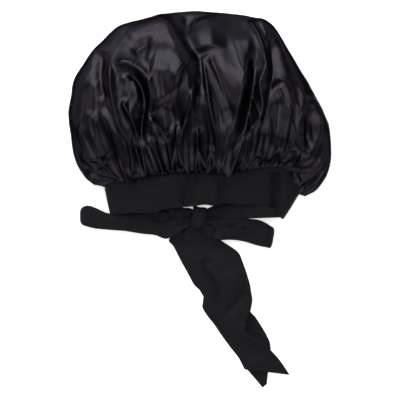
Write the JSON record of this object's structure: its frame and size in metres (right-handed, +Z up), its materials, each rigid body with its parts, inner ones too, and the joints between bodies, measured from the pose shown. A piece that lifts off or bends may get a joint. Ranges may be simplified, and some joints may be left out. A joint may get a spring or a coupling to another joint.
{
  "type": "sleep bonnet",
  "caption": "Soft sleep bonnet lying flat: a full gathered crown, a wide stretch band at the opening and two long flat ties knotted in a bow.",
  "frame": {"origin": "middle of the footprint, on the surface that the bonnet lies on", "axes": "+Y from the ties to the far end of the crown, +X to the right when seen from above with the crown up the picture, +Z up from the surface"},
  "size_m": [0.3408, 0.4914, 0.0831],
  "materials": {
    "satin": "black satin weave with a soft sheen",
    "knit": "matte black jersey knit"
  },
  "bodies": {
    "root": {"crown": "satin", "band": "knit", "strap_left": "knit", "strap_right": "knit", "bow_loop_left": "knit", "bow_loop_right": "knit", "bow_knot": "knit", "tail_front": "knit", "tail_back": "knit"}
  },
  "joints": []
}
